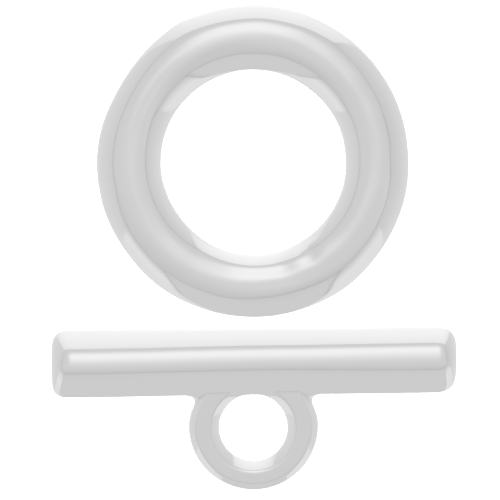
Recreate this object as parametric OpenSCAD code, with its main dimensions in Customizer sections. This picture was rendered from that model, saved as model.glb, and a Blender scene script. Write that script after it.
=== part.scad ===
// Toggle clasp in two loose halves, laid flat side by side.
// A plain round ring lies behind, and a straight round bar with a soldered loop lies in front of it.
// +X runs along the bar, +Y from the bar to the ring, and +Z up from the surface that both lie on.

/* [Ring] */
// Outer diameter of the ring
ring_od = 15; // [12:0.1:24]
// Thickness of the ring's round stock
ring_stock = 3; // [1.6:0.1:3.6]

/* [Bar] */
// Length of the bar from end to end
bar_len = 19.5; // [16:0.1:30]
// Diameter of the bar
bar_d = 3.1; // [2.2:0.05:4]
// Radius that rounds the edge of each end of the bar
bar_edge_r = 0.85; // [0.1:0.05:1.05]

/* [Loop] */
// Clear diameter of the loop's eye
eye_d = 3.2; // [2.2:0.05:4.4]
// Width of the loop's band, from the eye to the outer edge
band_w = 1.5; // [1:0.05:2]
// Thickness of the loop's band
band_t = 1.4; // [1:0.05:2]
// Radius that rounds the four edges of the band
band_edge_r = 0.4; // [0.1:0.05:0.45]
// Depth to which the eye's edge is let into the side of the bar
loop_sink = 0.03; // [0.02:0.01:0.3]
// Place of the loop along the bar, counted from the bar's middle
loop_shift = -0.05; // [-4:0.05:4]

/* [Solder] */
// Spread of the solder along the bar, past the loop's outer edge
solder_spread = 0.35; // [0.1:0.05:0.6]
// Height to which the solder climbs each leg of the loop
solder_climb = 0.5; // [0.2:0.05:0.7]

/* [Layout] */
// Free gap between the ring and the bar as they lie
lay_gap = 0.65; // [0.3:0.05:6]
// Place of the ring's centre along X, counted from the bar's middle
ring_shift = -0.05; // [-3:0.05:3]
// Turn of the bar on the surface, with the right end away from the viewer
bar_turn = 0.6; // [-8:0.1:8]

/* [Hidden] */
$fn = 96;

metal = "gainsboro";
arc_steps = 5;

ring_mean_r = (ring_od - ring_stock) / 2;
bar_r = bar_d / 2;
eye_r = eye_d / 2;
loop_mean_r = eye_r + band_w / 2;
loop_outer_r = eye_r + band_w;

// The loop's centre, as far from the bar's axis as puts the eye's edge loop_sink inside the bar.
loop_dist = bar_r + eye_r - loop_sink;

// The bar rolls until the far lower edge of the thinner loop touches the surface too.
far_out = loop_dist + loop_outer_r - band_edge_r;
far_half_t = band_t / 2 - band_edge_r;
bar_roll = asin((bar_r - band_edge_r) / norm([far_out, far_half_t])) - atan2(far_half_t, far_out);
loop_reach = far_out * cos(bar_roll) + far_half_t * sin(bar_roll) + band_edge_r;

// Where the outer edge of each leg meets the side of the bar, and the solder's foot there.
loop_below = loop_dist - bar_r;
leg_edge_x = sqrt(pow(loop_outer_r, 2) - pow(loop_below, 2));
tip_core_x = sqrt(pow(loop_mean_r, 2) - pow(loop_below - solder_climb, 2));
foot_tip_r = band_t / 3;
foot_base_r = leg_edge_x + solder_spread - tip_core_x;
foot_root = bar_r / 2;

// Both halves together are centred on the origin in Y.
bar_y = (loop_reach - bar_r - lay_gap - ring_od) / 2;
ring_y = bar_y + bar_r + lay_gap + ring_od / 2;

// Half outline of the bar: flat ends with a rounded edge, along the axis of turning.
function bar_outline() = let (flat_r = bar_r - bar_edge_r, shoulder = bar_len / 2 - bar_edge_r)
    concat(
        [[0, -bar_len / 2]],
        [for (i = [0 : arc_steps]) let (a = 90 * i / arc_steps)
            [flat_r + bar_edge_r * sin(a), -shoulder - bar_edge_r * cos(a)]],
        [for (i = [0 : arc_steps]) let (a = 90 * i / arc_steps)
            [flat_r + bar_edge_r * cos(a), shoulder + bar_edge_r * sin(a)]],
        [[0, bar_len / 2]]
    );

// Half outline of a solder foot: a stub inside the bar, then a hollow sweep up the leg.
function foot_outline() = concat(
    [[0, -foot_root], [foot_base_r, -foot_root]],
    [for (i = [0 : arc_steps]) let (a = 90 * i / arc_steps)
        [foot_base_r - (foot_base_r - foot_tip_r) * sin(a), solder_climb * (1 - cos(a))]],
    [[0, solder_climb]]
);

// Cross-section of the loop's band about its own middle, with all four edges rounded.
function band_outline() = [
    for (corner = [0 : 3]) for (i = [0 : arc_steps])
        let (
            a = 90 * (corner + i / arc_steps),
            side = corner == 0 || corner == 3 ? 1 : -1,
            face = corner < 2 ? 1 : -1
        )
        [side * (band_w / 2 - band_edge_r) + band_edge_r * cos(a), face * far_half_t + band_edge_r * sin(a)]
];

// The bar's turned body, along X.
module bar_body() {
    rotate([0, 90, 0]) rotate_extrude() polygon(bar_outline());
}

// The loop about its own centre, its flat faces level.
module loop_band() {
    rotate_extrude() translate([loop_mean_r, 0]) polygon(band_outline());
}

// Solder where one leg of the loop meets the bar; side is -1 for the left leg and 1 for the right.
module solder_foot(side) {
    translate([side * tip_core_x, -bar_r, 0]) rotate([90, 0, 0]) rotate_extrude() polygon(foot_outline());
}

module ring() {
    color(metal)
        translate([ring_shift, ring_y, ring_stock / 2])
            rotate_extrude() translate([ring_mean_r, 0]) circle(d = ring_stock);
}

module toggle_bar() {
    color(metal)
        translate([0, bar_y, bar_r]) rotate([0, 0, bar_turn]) rotate([bar_roll, 0, 0]) {
            bar_body();
            translate([loop_shift, 0, 0]) {
                translate([0, -loop_dist, 0]) loop_band();
                solder_foot(-1);
                solder_foot(1);
            }
        }
}

ring();
toggle_bar();
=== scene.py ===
import math
import bpy
import numpy as np
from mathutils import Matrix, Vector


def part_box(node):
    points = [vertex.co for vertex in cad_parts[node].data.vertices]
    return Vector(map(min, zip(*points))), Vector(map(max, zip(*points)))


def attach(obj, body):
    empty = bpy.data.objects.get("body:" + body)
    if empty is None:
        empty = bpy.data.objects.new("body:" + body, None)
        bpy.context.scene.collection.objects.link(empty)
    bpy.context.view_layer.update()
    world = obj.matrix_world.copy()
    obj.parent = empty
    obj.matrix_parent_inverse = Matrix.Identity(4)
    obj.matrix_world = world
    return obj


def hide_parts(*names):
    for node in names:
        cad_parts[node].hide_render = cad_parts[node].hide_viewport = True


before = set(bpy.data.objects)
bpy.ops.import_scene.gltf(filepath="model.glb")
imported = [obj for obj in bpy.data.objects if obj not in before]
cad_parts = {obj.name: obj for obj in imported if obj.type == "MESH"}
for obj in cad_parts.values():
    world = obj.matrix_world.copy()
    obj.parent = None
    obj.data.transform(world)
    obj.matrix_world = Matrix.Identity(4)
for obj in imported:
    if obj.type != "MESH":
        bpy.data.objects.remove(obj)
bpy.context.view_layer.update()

mm = 0.001  # lengths below are written in millimetres
print("frame loaded:", ", ".join(sorted(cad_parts)))


def linearColour(hexColour):
    # sRGB hex to the linear RGBA that nodes take
    channels = [int(hexColour[i:i + 2], 16) / 255 for i in (1, 3, 5)]
    return [c / 12.92 if c <= 0.04045 else ((c + 0.055) / 1.055) ** 2.4 for c in channels] + [1.0]


def addNode(tree, kind, settings=None, links=None):
    # settings: attributes of the node, or values of its inputs; links: input name to another node's output
    node = tree.nodes.new(kind)
    for name, value in (settings or {}).items():
        if isinstance(name, str) and hasattr(node, name):
            setattr(node, name, value)
        else:
            node.inputs[name].default_value = value
    for name, output in (links or {}).items():
        tree.links.new(output, node.inputs[name])
    return node


def newMaterial(name):
    material = bpy.data.materials.new(name)
    material.use_nodes = True
    material.node_tree.nodes.clear()
    return material, material.node_tree


def handWaves(points, size, count, seed):
    # slow random unevenness, roughly between -1 and 1, from waves of 0.7 to 1.5 times the given size
    rng = np.random.default_rng(seed)
    total = np.zeros(len(points))
    for _ in range(count):
        direction = rng.normal(size=3)
        direction /= np.linalg.norm(direction)
        wavelength = size * rng.uniform(0.7, 1.5)
        total += np.sin(points @ direction * 2 * math.pi / wavelength + rng.uniform(0, 2 * math.pi))
    return total / math.sqrt(count)


def gridFaces(rows, columns, closeRows, closeColumns):
    # quads of a grid of points stored row by row, which may close on itself both ways
    rowCount = rows if closeRows else rows - 1
    columnCount = columns if closeColumns else columns - 1
    r, c = np.meshgrid(np.arange(rowCount), np.arange(columnCount), indexing="ij")
    nextR, nextC = (r + 1) % rows, (c + 1) % columns
    corners = (r * columns + c, nextR * columns + c, nextR * columns + nextC, r * columns + nextC)
    return np.stack(corners, axis=-1).reshape(-1, 4)


def meshObject(name, points, faces, material, smooth=True):
    mesh = bpy.data.meshes.new(name)
    mesh.from_pydata(points.tolist(), [], faces.tolist())
    mesh.validate()
    mesh.polygons.foreach_set("use_smooth", [smooth] * len(mesh.polygons))
    mesh.materials.append(material)
    mesh.update()
    made = bpy.data.objects.new(name, mesh)
    bpy.context.scene.collection.objects.link(made)
    return made


# The camera stands high above the table and looks straight down, as in the photograph.
cameraSettings = {
    "aim": (-0.19, -0.10),    # the point under the middle of the frame
    "level": 1.55,            # height of the bar's axis
    "width": 24.10,           # what the square frame takes in at that height
    "height": 300.0,          # from that height up to the camera
    "sensor": 36,
    "clip": (0.01, 20),       # nearest and furthest, in metres
}
camData = bpy.data.cameras.new("overheadCamera")
camData.sensor_width = cameraSettings["sensor"]
camData.lens = cameraSettings["sensor"] * cameraSettings["height"] / cameraSettings["width"]
camData.clip_start, camData.clip_end = cameraSettings["clip"]
camera = bpy.data.objects.new("overheadCamera", camData)
cameraPlace = (*cameraSettings["aim"], cameraSettings["height"] + cameraSettings["level"])
camera.location = [v * mm for v in cameraPlace]
bpy.context.scene.collection.objects.link(camera)
bpy.context.scene.camera = camera
bpy.context.scene.view_settings.view_transform = "Standard"
print("camera looks straight down from", cameraSettings["height"], "mm")


# The stage is a white table inside a light tent of glowing cards, with soft light from above. The tones of
# the cards were set until the metal mirrored the greys that it has in the photo.
stage = {
    "tableSize": 1600.0,
    "tableColour": "#E8E8E8",
    "fill": 1.0,              # even white all round, for the table alone
    "keyStrength": 7.0,       # soft light straight above, for the table alone
    "keyAngle": 18.0,         # degrees that the light is wide
}
tent = {
    "height": 300.0,          # from the table to the ceiling card; the cards' places are in ceiling heights
    "low": -3.4,              # the wall cards run on below the table to here
    "seam": 0.03,             # open joint between the ceiling and the walls
    "cornerSeam": 0.006,      # open joint between one wall and the next
    "frontSeam": 0.07,        # and on both sides of the front card
    "seamTone": "#A4A4A4",
    # the card below everything, whose tones are a painted reflection in place of the table, by direction in
    # degrees from the right: white behind, grey in front
    "footTones": ((0, "#DADADA"), (50, "#E4E4E4"), (75, "#F6F6F6"), (105, "#F8F8F8"), (130, "#E4E4E4"),
                  (180, "#DCDCDC"), (215, "#D8D8D8"), (236, "#CACACA"), (304, "#CACACA"),
                  (325, "#D6D6D6"), (360, "#DADADA")),
    # corners of the ceiling's two cards, and by how many seams each is moved along X and Y
    "ceiling": ((-2.0, -1.535, 1, 1), (1.43, -1.25, -1, 1), (1.43, 2.12, -1, 0), (-2.0, 2.12, 1, 0)),
    "ceilingBack": ((-2.0, 2.12, 1, 0), (1.43, 2.12, -1, 0), (2.09, 3.1, 0, -2), (-2.09, 3.1, 0, -2)),
    "ceilingTone": "#CECECE",
    "frontTone": "#C3C3C3",   # painted shade: the ceiling card falls off towards the front
    "frontFall": (1.1, 1.6),  # how far in front it reaches that tone, and how late: above 1 is later
    "rightFall": (0.03, 0.6, 0.7),    # painted shade: it darkens to the right too: by how much, from where, over what width
    "leftFall": (0.05, 1.0, 0.9),
    "glowTone": "#F2F2F2",    # a painted pool of light on the ceiling card, behind the middle, as a lamp would leave
    "glowPlace": (-0.03, 0.88),
    "glowFront": (0.35, 0.50),    # spread of the pool sideways and towards the front
    "glowBack": (0.41, 0.62),     # spread sideways and towards the back
    "glowEdge": 1.25,             # above 1 the pool is more even inside and ends sooner
    "sideGlow": ((1.15, -0.35), 0.25, 0.04),    # a weaker painted pool of light in front on the right: place, spread, strength
    "gloss": 0.94,            # share of the light that polished silver gives back
    "backFade": 0.11,         # painted shade: the back card is darker by this share at the width below, to both sides
    "backWidth": (0.02, 0.5),         # middle of that fade, and the square of its width
    "shell": (6.0, 1.3),      # how far out and how high the shells stand that show through the seams
    "tonesAt": (56.0, 66.0, 76.0, 90.0, 106.0, 124.0, 146.0),   # degrees from straight up, for these tones
    # each wall card: top left and right corners, lower left and right corners, tones of its painted light
    # from the top down
    "cards": {
        "front": ((-1.22, -1.47), (1.00, -1.29), (-0.16, -1.49), (0.29, -1.33),
                  ("#C8C8C8", "#CBCBCB", "#CCCCCC", "#CCCCCC", "#CCCCCC", "#CCCCCC", "#CACACA")),
        "frontRight": ((1.00, -1.29), (1.43, -0.62), (0.29, -1.33), (1.32, -1.06),
                       ("#BCBCBC", "#C8C8C8", "#D4D4D4", "#E0E0E0", "#DFDFDF", "#DFDFDF", "#E0E0E0")),
        "right": ((1.43, -0.62), (1.43, 2.12), (1.32, -1.06), (1.43, 1.43),
                  ("#C4C4C4", "#C9C9C9", "#CCCCCC", "#CFCFCF", "#D3D3D3", "#D6D6D6", "#DADADA")),
        "back": ((2.09, 3.1), (-2.09, 3.1), (2.73, 3.1), (-3.27, 3.1),
                 ("#C8C8C8", "#D4D4D4", "#EAEAEA", "#EEEEEE", "#F2F2F2", "#F4F4F4", "#F8F8F8")),
        "left": ((-2.0, 2.965), (-2.0, -0.95), (-2.0, 1.44), (-1.89, -1.317),
                 ("#C7C7C7", "#CBCBCB", "#CFCFCF", "#D1D1D1", "#D4D4D4", "#D6D6D6", "#DADADA")),
        "frontLeft": ((-2.0, -0.95), (-1.22, -1.47), (-1.89, -1.317), (-0.16, -1.49),
                      ("#BEBEBE", "#C5C5C5", "#D6D6D6", "#E2E2E2", "#DEDEDE", "#DDDDDD", "#DFDFDF")),
    },
}


def glowCard(name, corners, glowOf, steps):
    # a tent card between four corners in ceiling heights, which shines as glowOf says at each point
    a, b, c, d = (np.array(p, float) for p in corners)
    s, t = np.meshgrid(np.linspace(0, 1, steps), np.linspace(0, 1, steps), indexing="ij")
    s, t = s.reshape(-1, 1), t.reshape(-1, 1)
    places = (a * (1 - s) + b * s) * (1 - t) + (d * (1 - s) + c * s) * t
    faces = gridFaces(steps, steps, False, False)
    card = meshObject(name, places * tent["height"] * mm, faces, paintedLightCardMaterial)
    shine = card.data.attributes.new("glow", "FLOAT", "POINT")
    shine.data.foreach_set("value", np.asarray(glowOf(places), np.float32) / tent["gloss"])
    # it is there for the shiny metal alone: neither the camera nor the table sees it
    card.visible_camera = False
    card.visible_diffuse = False
    card.visible_shadow = False
    card.visible_transmission = False
    card.visible_volume_scatter = False


# Card that glows with painted light, not lit by any lamp: its emission, pools and fall-off included, is seen
# only in the metal's reflections, so the metal shows calm greys.
paintedLightCardMaterial, tree = newMaterial("paintedLightCard")
glowIn = addNode(tree, "ShaderNodeAttribute", {"attribute_name": "glow"})
emission = addNode(tree, "ShaderNodeEmission", {}, {"Strength": glowIn.outputs["Fac"]})
addNode(tree, "ShaderNodeOutputMaterial", {}, {"Surface": emission.outputs[0]})
paintedLightCardMaterial.cycles.emission_sampling = "NONE"      # found by reflections alone, never aimed at


def tone(hexColour):
    return linearColour(hexColour)[0]


# painted light on the ceiling card: a pool of light, and shade falling off to the front and sides
def ceilingGlow(p):
    x, y = p[:, 0], p[:, 1]
    middleTone, frontTone = tone(tent["ceilingTone"]), tone(tent["frontTone"])
    reach, late = tent["frontFall"]
    base = middleTone - (middleTone - frontTone) * np.clip(-y / reach, 0, 1) ** late
    rightDark, rightFrom, rightWidth = tent["rightFall"]
    leftDark, leftFrom, leftWidth = tent["leftFall"]
    sides = (rightDark * np.clip((x - rightFrom) / rightWidth, 0, 1) ** 2
             + leftDark * np.clip((-x - leftFrom) / leftWidth, 0, 1) ** 2)
    gx, gy = tent["glowPlace"]
    wide = np.where(y < gy, tent["glowFront"][0], tent["glowBack"][0])
    spread = np.where(y < gy, tent["glowFront"][1], tent["glowBack"][1])
    pool = np.exp(-0.5 * (((x - gx) / wide) ** 2 + ((y - gy) / spread) ** 2) ** tent["glowEdge"])
    (sx, sy), sideSpread, strength = tent["sideGlow"]
    weak = strength * np.exp(-0.5 * ((x - sx) ** 2 + (y - sy) ** 2) / sideSpread ** 2)
    return base - sides + weak + (tone(tent["glowTone"]) - base) * pool


def footGlow(p):
    places, tones = zip(*tent["footTones"])
    direction = np.degrees(np.arctan2(p[:, 1], p[:, 0])) % 360
    return np.interp(direction, places, [tone(t) for t in tones])


seam, low = tent["seam"], tent["low"]
for cardName, part, steps in (("tentCeiling", "ceiling", 72), ("tentCeilingBack", "ceilingBack", 40)):
    corners = [(x + seamsX * seam, y + seamsY * seam, 1) for x, y, seamsX, seamsY in tent[part]]
    glowCard(cardName, corners, ceilingGlow, steps)
for cardName, (topStart, topEnd, lowStart, lowEnd, tones) in tent["cards"].items():
    levels = [tone(t) for t in tones]
    fade = tent["backFade"] if cardName == "back" else 0.0

    def wallGlow(p):
        fromUp = np.degrees(np.arctan2(np.hypot(p[:, 0], p[:, 1]), p[:, 2]))
        sideways = p[:, 0] / p[:, 1] if fade else p[:, 0] * 0
        middle, squaredWidth = tent["backWidth"]
        ends = 1 - fade * (sideways - middle) ** 2 / squaredWidth
        return np.interp(fromUp, tent["tonesAt"], levels) * ends

    topStart, topEnd = np.array(topStart), np.array(topEnd)
    joint = tent["frontSeam" if cardName == "front" else "cornerSeam"]
    along = (topEnd - topStart) / np.linalg.norm(topEnd - topStart) * joint / 2
    corners = [(*(topStart + along), 1 - seam), (*(topEnd - along), 1 - seam),
               (*(lowEnd - along), low), (*(lowStart + along), low)]
    glowCard("tent" + cardName[0].upper() + cardName[1:], corners, wallGlow, 64)


def seamGlow(p):
    return np.full(len(p), tone(tent["seamTone"]))


# shells beyond the cards: what shows through the open joints, and below everything
far, top = tent["shell"]
plan = ((-far, -far), (far, -far), (far, far), (-far, far))
glowCard("tentTopShell", [(x, y, top) for x, y in plan], seamGlow, 2)
glowCard("tentFootShell", [(x, y, low) for x, y in plan], footGlow, 120)
for shellName, first, second in (("Back", 2, 3), ("Front", 0, 1), ("Left", 3, 0), ("Right", 1, 2)):
    start, end = plan[first], plan[second]
    shellCorners = [(*start, top), (*end, top), (*end, low), (*start, low)]
    glowCard("tent" + shellName + "Shell", shellCorners, seamGlow, 2)

# Matt white acrylic, lit until it is clean white in the picture.
tableAcrylic, tree = newMaterial("mattWhiteAcrylic")
matt = addNode(tree, "ShaderNodeBsdfDiffuse", {"Color": linearColour(stage["tableColour"])})
addNode(tree, "ShaderNodeOutputMaterial", {}, {"Surface": matt.outputs[0]})
half = stage["tableSize"] / 2 * mm
corners = np.array([(-half, -half, 0), (half, -half, 0), (half, half, 0), (-half, half, 0)])
table = meshObject("table", corners, np.array([[0, 1, 2, 3]]), tableAcrylic, False)
table.location.z = -0.01 * mm
table.visible_glossy = False      # the metal shows the tent's foot there, with its softer painted tones in place of the table's reflection

key = bpy.data.objects.new("softKey", bpy.data.lights.new("softKey", "SUN"))
key.data.energy = stage["keyStrength"]
key.data.angle = math.radians(stage["keyAngle"])
key.visible_glossy = False
bpy.context.scene.collection.objects.link(key)

world = bpy.data.worlds.new("whiteRoom")
world.use_nodes = True
world.node_tree.nodes["Background"].inputs["Color"].default_value = linearColour("#FFFFFF")
world.node_tree.nodes["Background"].inputs["Strength"].default_value = stage["fill"]
bpy.context.scene.world = world
print("stage set: table, tent cards and soft light")


silver = {
    "colour": "#F8F8F8",
    "roughness": 0.09,
    "hazeRoughness": 0.05,    # how much duller the hazy patches are
    "hazeSize": 2.2,          # mm, width of a patch left by the polishing cloth
    "hazeRange": (0.35, 0.75),        # part of the noise between clear and hazy
    "hairWidth": 0.05,        # mm, a polishing hairline; real ones are about 0.005, too fine to show
    "hairDepth": 0.00012,     # mm
}


def silverMaterial(name, hairDirection):
    # Sterling silver, tumbled and hand polished: a bright neutral mirror, whose faint haze and hairlines
    # from the cloth soften the edges of what it reflects.
    material, tree = newMaterial(name)
    place = addNode(tree, "ShaderNodeTexCoord")
    patches = addNode(tree, "ShaderNodeTexNoise",
                      {"Scale": 1 / (silver["hazeSize"] * mm), "Detail": 4.0, "Roughness": 0.55},
                      {"Vector": place.outputs["Object"]})
    clear, hazy = silver["hazeRange"]
    haze = addNode(tree, "ShaderNodeMapRange",
                   {"From Min": clear, "From Max": hazy, "To Min": silver["roughness"],
                    "To Max": silver["roughness"] + silver["hazeRoughness"]},
                   {"Value": patches.outputs["Fac"]})
    stretched = addNode(tree, "ShaderNodeMapping",
                        {"Scale": [1 / (silver["hairWidth"] * mm) * s for s in hairDirection]},
                        {"Vector": place.outputs["Object"]})
    hairs = addNode(tree, "ShaderNodeTexNoise", {"Scale": 1.0, "Detail": 3.0},
                    {"Vector": stretched.outputs[0]})
    relief = addNode(tree, "ShaderNodeBump", {"Strength": 1.0, "Distance": silver["hairDepth"] * mm},
                     {"Height": hairs.outputs["Fac"]})
    metal = addNode(tree, "ShaderNodeBsdfPrincipled",
                    {"Base Color": linearColour(silver["colour"]), "Metallic": 1.0},
                    {"Roughness": haze.outputs[0], "Normal": relief.outputs[0]})
    addNode(tree, "ShaderNodeOutputMaterial", {}, {"Surface": metal.outputs[0]})
    return material


ring = {
    "node": "ring",
    "around": 512,
    "across": 120,
    "offset": (0.01, -0.03),  # mm, to the right and towards the bar
    # mm, how much nearer the hole the top lies: right, left, back, front
    "crestShift": (0.055, 0.08, 0.07, 0.05),
    # mm, how much smaller the hole is: all round, more behind, more on the right
    "hole": (0.043, 0.034, -0.008),
    "waveDepth": 0.007,       # mm, unevenness left by hand polishing
    "waveSize": 2.4,
    "waveCount": 18,
    "waveSeed": 5,
    "strokeDepth": 0.015,     # mm, long shallow strokes of the file along the ring's top
    "strokeCount": 26,
    "strokeSeed": 12,
    "strokesAcross": (4, 19),         # waves round the stock, and below round the ring
    "strokesAlong": (-5, 6),
    "strokeWeight": 7,        # strokes with fewer waves than this round the stock are the deeper ones
    # the outer edge isn't quite round: middle and half width in degrees, and how far out in mm
    "outline": ((148, 11, -0.12), (193, 15, 0.06), (118, 5, 0.09), (0, 14, -0.01), (345, 14, 0.02),
                (88, 16, 0.03), (235, 8, 0.035), (305, 8, 0.03)),
    "holeEdge": ((268, 15, 0.02), (215, 14, -0.05)),     # nor is the hole's edge
    # the inner flank is fuller in front and flatter behind: middle, half width, how far towards the hole
    "innerFlank": ((270, 28, 0.03), (135, 20, -0.08), (45, 18, -0.04)),
    "flankPlace": (-37, 16),  # where that is round the stock, from its top outwards, and its half width
    # filed flat in front: middle and half width round the ring, then round the stock, in degrees; depth in mm
    "facet": (270, 30, -19, 11, 0.032),
    # shallow dents: place round the ring and round the stock in degrees, half width and depth in mm
    "dents": ((301, -31, 0.35, 0.07), (285.5, -33, 0.40, 0.055),
              (262, -30, 0.5, 0.016), (306, 8, 0.5, 0.012)),
}


def offAngle(degrees, middle):
    return (degrees - middle + 180) % 360 - 180


def makeRing():
    low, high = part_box(ring["node"])
    centre = np.array((low + high) / 2) / mm
    stock = (high.z - low.z) / mm
    r = stock / 2
    meanR = (high.x - low.x) / mm / 2 - r
    u, v = np.meshgrid(np.arange(ring["around"]) / ring["around"] * 2 * math.pi,
                       np.arange(ring["across"]) / ring["across"] * 2 * math.pi, indexing="ij")
    u, v = u.ravel(), v.ravel()      # u round the ring, v round the stock from its top outwards
    outwards = np.stack([np.cos(u), np.sin(u), np.zeros_like(u)], axis=1)
    normal = outwards * np.sin(v)[:, None] + np.array([0, 0, 1]) * np.cos(v)[:, None]
    right, left, back, front = ring["crestShift"]
    lean = (np.where(np.cos(u) > 0, right, left) * np.cos(u) ** 2
            + np.where(np.sin(u) > 0, back, front) * np.sin(u) ** 2)
    lean *= np.where(np.cos(v) > 0, 1 - np.sin(v) ** 4, 0)
    azimuths = np.degrees(u)
    edge, holeEdge, flank = (sum(out * np.exp(-0.5 * (offAngle(azimuths, middle) / width) ** 2)
                                 for middle, width, out in ring[part])
                             for part in ("outline", "holeEdge", "innerFlank"))
    allRound, behind, onRight = ring["hole"]
    inwards = allRound + behind * np.sin(u) + onRight * np.cos(u) - holeEdge
    sideways = edge * np.clip(np.sin(v), 0, 1) ** 2 - inwards * np.clip(-np.sin(v), 0, 1) ** 2
    flankMiddle, flankWidth = ring["flankPlace"]
    sideways -= flank * np.exp(-0.5 * (offAngle(np.degrees(v), flankMiddle) / flankWidth) ** 2)
    centre[:2] += ring["offset"]
    points = centre + outwards * (meanR - lean + sideways)[:, None] + normal * r
    relief = ring["waveDepth"] * handWaves(points, ring["waveSize"], ring["waveCount"], ring["waveSeed"])
    rng = np.random.default_rng(ring["strokeSeed"])
    strokes = np.zeros_like(u)
    for _ in range(ring["strokeCount"]):
        # whole numbers, so that the strokes close round the ring
        across, along = rng.integers(*ring["strokesAcross"]), rng.integers(*ring["strokesAlong"])
        phase = rng.uniform(0, 2 * math.pi)
        strokes += np.sin(across * v + along * u + phase) * ring["strokeWeight"] / across
    onTop = np.clip(np.cos(v), 0, 1) ** 6
    relief += ring["strokeDepth"] * strokes / math.sqrt(ring["strokeCount"]) * onTop
    middle, halfWidth, place, halfReach, depth = ring["facet"]
    relief -= depth * np.exp(-0.5 * (offAngle(azimuths, middle) / halfWidth) ** 2
                             - 0.5 * (offAngle(np.degrees(v), place) / halfReach) ** 2)
    for azimuth, place, width, depth in ring["dents"]:
        a, b = math.radians(azimuth), math.radians(place)
        middle = centre + np.array([math.cos(a), math.sin(a), 0]) * (meanR + r * math.sin(b))
        middle = middle + [0, 0, r * math.cos(b)]
        relief -= depth * np.exp(-0.5 * np.sum((points - middle) ** 2, axis=1) / width ** 2)
    points += normal * (relief * np.clip((np.cos(v) + 1) * 2, 0, 1))[:, None]     # none where it rests
    faces = gridFaces(ring["around"], ring["across"], True, True)
    silverHere = silverMaterial("sterlingSilverPolished", (1, 1, 0.2))
    made = meshObject("ringPolished", points * mm, faces, silverHere)
    made.visible_glossy = False      # the halves aren't mirrored in each other
    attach(made, "root")
    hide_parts(ring["node"])
    print("ring:", len(made.data.vertices), "points")


bar = {
    "node": "toggle_bar",
    "length": 19.5,
    "halfHeight": 1.55,
    "axis": (-5.4995, 1.55),  # place of its middle line, Y and Z
    # radius of the end edges: behind, in front, and on top
    "leftEnd": (1.00, 0.85, 1.05),
    "rightEnd": (1.05, 1.15, 0.90),
    "squareness": (2.8, 0.8), # of the corners as seen from above, and how much less from the side; 2 is round
    "turn": 0.6,              # degrees, as the bar lies
    # The filed section at three places along X. What faces between two of these directions, in degrees from
    # straight up towards the ring, shows as one band of tone from above. The bands' widths give the section.
    "bandEdges": (90, 36, 20.7, -10, -27, -90),
    # widths of the bands in mm, from behind to the front, then what is added to the bends at "touched"
    "sections": {
        -8.3: ((0.9639, 0.3373, 0.5253, 0.2217, 1.1566), (0.17, 0.26, -0.06, -0.07, -0.05)),
        1.0: ((0.8193, 0.3325, 0.5205, 0.2169, 1.2048), (0.18, 0.23, -0.07, -0.08, -0.05)),
        7.8: ((0.7807, 0.3037, 0.6169, 0.2651, 1.1325), (0.13, 0.22, -0.02, -0.10, -0.05)),
    },
    "touched": (8, 20, 30, 40, 50),   # directions where the bends are touched up
    # directions where a bend is worked out, as a radius in mm; the underside is the same turned round
    "facing": (-90, -75, -62, -52, -46, -40, -34, -28, -18, -5, 8, 20, 30, 40, 50, 62, 75, 90),
    "leastBend": 0.40,        # mm, the tightest edge
    "plainBend": 1.5,         # mm, what it tends to where nothing else asks for more
    "pulls": {"width": 60.0, "even": 6.0, "plain": 0.12},    # how much each of these counts
    # unevenness, long from the file and short from polishing: depth, size, count of waves, seed
    "slowWaves": (0.008, 9.0, 8, 4),
    "shortWaves": (0.0025, 3.2, 14, 21),
    # the crude bar that is pulled to shape: how far in from each end, and its radius there
    "crude": ((0.0, 0.8), (0.3, 1.2), (0.8, 1.57)),
    "slack": 0.02,            # how much longer it is, at each end
    "voxel": 0.07,
    "moves": 16,              # steps to the wanted surface, each at most as long as the next line says
    "moveMost": 0.06,
    "leastSlope": 0.2,        # keeps a step short where the field is nearly level
}
loop = {
    "roll": 8.43,             # degrees by which the loop slopes down to the table
    "shift": -0.06,
    "distance": 3.20,         # from the bar's axis to the eye's centre
    "outerShift": 0.116,      # the outer edge is this much nearer the bar than the eye
    "eye": 1.605,             # radius
    "outer": 3.13,            # radius
    "thick": 1.38,
    # slopes beside the band's face, from the face down: steepness in degrees, and width in mm from above
    "innerSlopes": ((50, 0.31), (70, 0.145)),
    "outerSlopes": ((52, 0.33),),
    "edge": 0.10,             # softness of the edges
    "flare": (0.10, 0.62),    # hollow sweep of the solder inside and outside the loop
    "flareFrom": (1.3, 1.5),  # the outer one begins this far from the middle, and grows over this width
    "flareDeep": (0.1, 0.5),  # it begins this far above the band's face, and is full this much deeper
    "neck": (24.0, 9.0, 0.10),    # filed in below the sweep: degrees towards the bar, half width, depth in mm
}


def smoothMax(a, b, reach):
    h = np.clip(reach - np.abs(a - b), 0, None) / reach
    return np.maximum(a, b) + h * h * reach / 4


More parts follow.
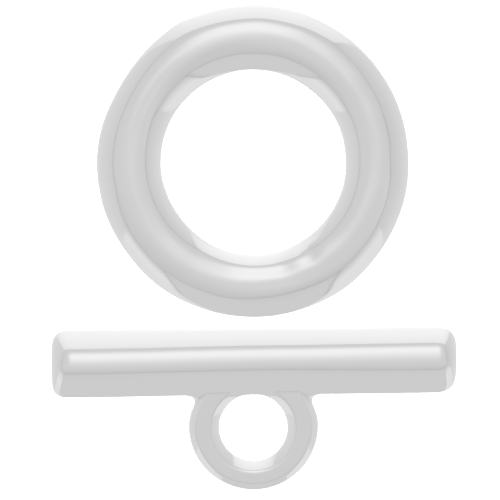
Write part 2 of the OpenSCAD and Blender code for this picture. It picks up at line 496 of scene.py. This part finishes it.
def solveBends(widths, touchUp):
    # radius to which the section is bent where it faces each direction: the evenest that gives the widths
    nodes = np.array(bar["facing"], float)
    pulls, count, steps = bar["pulls"], len(nodes), 3600
    facing = (np.arange(steps) + 0.5) * 180 / steps - 90
    share = np.array([np.interp(facing, nodes, one) for one in np.eye(count)]) * math.pi / steps
    across, upwards = np.cos(np.radians(facing)), np.abs(np.sin(np.radians(facing)))
    rows, wanted = [], []
    for top, low, width in zip(bar["bandEdges"], bar["bandEdges"][1:], widths):
        inBand = (facing >= low) & (facing < top)
        rows.append((share * across * inBand).sum(axis=1) * pulls["width"])
        wanted.append(width * pulls["width"])
    rows.append((share * upwards).sum(axis=1) * pulls["width"])
    wanted.append(2 * bar["halfHeight"] * pulls["width"])
    for i in range(1, count - 1):
        before, after = nodes[i] - nodes[i - 1], nodes[i + 1] - nodes[i]
        row = np.zeros(count)
        row[i - 1:i + 2] = 1 / before, -1 / before - 1 / after, 1 / after
        rows.append(row * pulls["even"])
        wanted.append(0)
    rows = np.array(rows + list(np.eye(count) * pulls["plain"]))
    wanted = np.array(wanted + [bar["plainBend"] * pulls["plain"]] * count)
    # where the answer would be tighter than the tightest edge, it is held there and the rest is solved again
    bends, free = np.full(count, bar["leastBend"]), np.ones(count, bool)
    while True:
        rest = wanted - rows[:, ~free] @ bends[~free]
        bends[free] = np.linalg.lstsq(rows[:, free], rest, rcond=None)[0]
        tooTight = free & (bends < bar["leastBend"])
        bends[tooTight] = bar["leastBend"]
        free &= ~tooTight
        if not tooTight.any():
            break
    bends = np.round(bends, 2)
    for direction, change in zip(bar["touched"], touchUp):
        bends[bar["facing"].index(direction)] += change
    return np.round(bends, 2)


def sectionProfile(bends):
    # radius of the section against polar angle, from its bends
    steps = 2880
    facing = np.radians(np.arange(steps) * 360 / steps - 90)      # where the surface faces, from straight up
    bend = np.interp(np.degrees(np.concatenate([facing[:steps // 2]] * 2)), bar["facing"], bends)
    y = np.cumsum(bend * np.cos(facing))
    z = -np.cumsum(bend * np.sin(facing))
    y, z = y - (y.max() + y.min()) / 2, z - (z.max() + z.min()) / 2
    scale = bar["halfHeight"] / z.max()
    polar = np.arctan2(y, z)
    order = np.argsort(polar)
    polar, radius = polar[order], np.hypot(y, z)[order] * scale
    wide, high = np.ptp(y) * scale, np.ptp(z) * scale
    print("bar section:", round(float(wide), 3), "mm wide,", round(float(high), 3), "mm high")
    return np.concatenate([polar - 2 * math.pi, polar, polar + 2 * math.pi]), np.tile(radius, 3)


profiles = [sectionProfile(solveBends(*section)) for section in bar["sections"].values()]
profilePlaces = list(bar["sections"])


def barField(p):
    x, y, z = p[:, 0], p[:, 1], p[:, 2]
    polar = np.arctan2(y, z)
    left, middle, right = (np.interp(polar, *profile) for profile in profiles)
    share = np.interp(x, profilePlaces, (-1.0, 0.0, 1.0))
    share = np.sin(share * math.pi / 2) * np.abs(share) ** 0.5
    section = (np.hypot(y, z) - middle
               - np.clip(-share, 0, 1) * (left - middle) - np.clip(share, 0, 1) * (right - middle))
    upright = z ** 2 / np.maximum(y ** 2 + z ** 2, 1e-9)
    leftRound, rightRound = (np.where(y > 0, behind, before) * (1 - upright) + onTop * upright
                             for behind, before, onTop in (bar["leftEnd"], bar["rightEnd"]))
    e = np.where(x < 0, leftRound, rightRound)
    power = bar["squareness"][0] - bar["squareness"][1] * upright
    end = np.abs(x) - bar["length"] / 2
    a, b = np.clip(section + e, 0, None), np.clip(end + e, 0, None)
    outside = (a ** power + b ** power + 1e-12) ** (1 / power)
    return outside + np.minimum(np.maximum(section + e, end + e), 0) - e


def loopField(p):
    tilt = math.radians(loop["roll"])
    x = p[:, 0] - loop["shift"]
    y = p[:, 1] * math.cos(tilt) + p[:, 2] * math.sin(tilt)
    z = np.abs(-p[:, 1] * math.sin(tilt) + p[:, 2] * math.cos(tilt))
    half = loop["thick"] / 2
    innerSide = loop["eye"] - np.hypot(x, y + loop["distance"])
    outerSide = np.hypot(x, y + loop["distance"] - loop["outerShift"]) - loop["outer"]
    towardsBar, halfWidth, depth = loop["neck"]
    aside = np.degrees(np.arctan2(y + loop["distance"], np.abs(x))) - towardsBar
    outerSide += depth * np.exp(-0.5 * (aside / halfWidth) ** 2)
    field = z - half
    for side, slopes in ((innerSide, loop["innerSlopes"]), (outerSide, loop["outerSlopes"])):
        reach, drop = sum(width for _, width in slopes), 0.0
        wall = side
        for steepness, width in slopes:
            a = math.radians(steepness)
            slope = (side + reach) * math.sin(a) + (z - half + drop) * math.cos(a)
            wall = smoothMax(wall, slope, loop["edge"])
            reach, drop = reach - width, drop + width * math.tan(a)
        field = smoothMax(field, wall, loop["edge"])
    return field, z


def toggleField(p):
    shortDepth, *shortWaves = bar["shortWaves"]
    slowDepth, *slowWaves = bar["slowWaves"]
    waves = shortDepth * handWaves(p, *shortWaves) + slowDepth * handWaves(p, *slowWaves)
    a, (b, fromMiddle) = barField(p), loopField(p)
    begins, width = loop["flareFrom"]
    outwards = np.clip((np.abs(p[:, 0] - loop["shift"]) - begins) / width, 0, 1)
    above, deeper = loop["flareDeep"]
    level = np.clip((loop["thick"] / 2 + above - fromMiddle) / deeper, 0, 1)
    share = outwards ** 2 * (3 - 2 * outwards) * level ** 2 * (3 - 2 * level)
    reach = loop["flare"][0] + (loop["flare"][1] - loop["flare"][0]) * share
    h = np.clip(reach - np.abs(a - b), 0, None) / reach
    return np.minimum(a, b) - h * h * reach / 4 - waves


def fieldSlope(p, step=0.002):
    slope = np.zeros_like(p)
    for axis in range(3):
        shift = np.zeros(3)
        shift[axis] = step
        slope[:, axis] = (toggleField(p + shift) - toggleField(p - shift)) / (2 * step)
    return slope


def makeToggleBar():
    # crude closed shapes that enclose the bar and the loop, made one skin by a voxel remesh
    rough = bpy.data.meshes.new("rough")
    points, faces = [], []
    count, end = 48, bar["length"] / 2 + bar["slack"]
    lathe = [(-end + inwards, radius) for inwards, radius in bar["crude"]]
    lathe += [(end - inwards, radius) for inwards, radius in reversed(bar["crude"])]
    for x, radius in lathe:
        for i in range(count):
            a = 2 * math.pi * i / count
            points.append((x, radius * math.cos(a), radius * math.sin(a)))
    faces += gridFaces(len(lathe), count, False, True)[:, ::-1].tolist()
    start = len(points)
    faces += [tuple(range(count - 1, -1, -1)), tuple(range(start - count, start))]
    tilt = math.radians(loop["roll"])
    inside, outside, half = loop["eye"], loop["outer"] + bar["slack"], loop["thick"] / 2
    across = ((inside, -half), (outside, -half), (outside, half), (inside, half))
    around = 96
    for i in range(around):
        a = 2 * math.pi * i / around
        for rho, z in across:
            x, y = rho * math.cos(a) + loop["shift"], rho * math.sin(a) - loop["distance"]
            points.append((x, y * math.cos(tilt) - z * math.sin(tilt),
                           y * math.sin(tilt) + z * math.cos(tilt)))
    faces += (gridFaces(around, 4, True, True) + start).tolist()
    rough.from_pydata(points, [], faces)
    holder = bpy.data.objects.new("rough", rough)
    bpy.context.scene.collection.objects.link(holder)
    remesh = holder.modifiers.new("skin", "REMESH")
    remesh.mode = "VOXEL"
    remesh.voxel_size = bar["voxel"]
    skin = bpy.data.meshes.new_from_object(holder.evaluated_get(bpy.context.evaluated_depsgraph_get()))
    bpy.data.objects.remove(holder)
    p = np.zeros(len(skin.vertices) * 3, np.float32)
    skin.vertices.foreach_get("co", p)
    p = p.reshape(-1, 3).astype(float)
    faces = np.array([tuple(f.vertices) for f in skin.polygons])
    for _ in range(bar["moves"]):
        slope = fieldSlope(p)
        move = np.clip(toggleField(p), -bar["moveMost"], bar["moveMost"])
        p -= slope * (move / np.maximum((slope ** 2).sum(axis=1), bar["leastSlope"]))[:, None]
    furthest = round(float(np.abs(toggleField(p)).max()), 4)
    print("toggle bar: furthest point from the wanted surface", furthest, "mm")
    slope = fieldSlope(p)
    turn = math.radians(bar["turn"])
    spin = np.array([[math.cos(turn), -math.sin(turn), 0],
                     [math.sin(turn), math.cos(turn), 0],
                     [0, 0, 1]])
    p = p @ spin.T + np.array([0, *bar["axis"]])
    normals = slope @ spin.T
    normals /= np.linalg.norm(normals, axis=1)[:, None]
    silverHere = silverMaterial("sterlingSilverPolishedSoldered", (0.2, 1, 1))
    made = meshObject("toggleBarPolished", p * mm, faces, silverHere)
    made.data.normals_split_custom_set_from_vertices(normals.tolist())
    made.visible_glossy = False
    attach(made, "root")
    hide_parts(bar["node"])
    print("toggle bar:", len(made.data.vertices), "points,", len(made.data.polygons), "faces")


makeRing()
makeToggleBar()
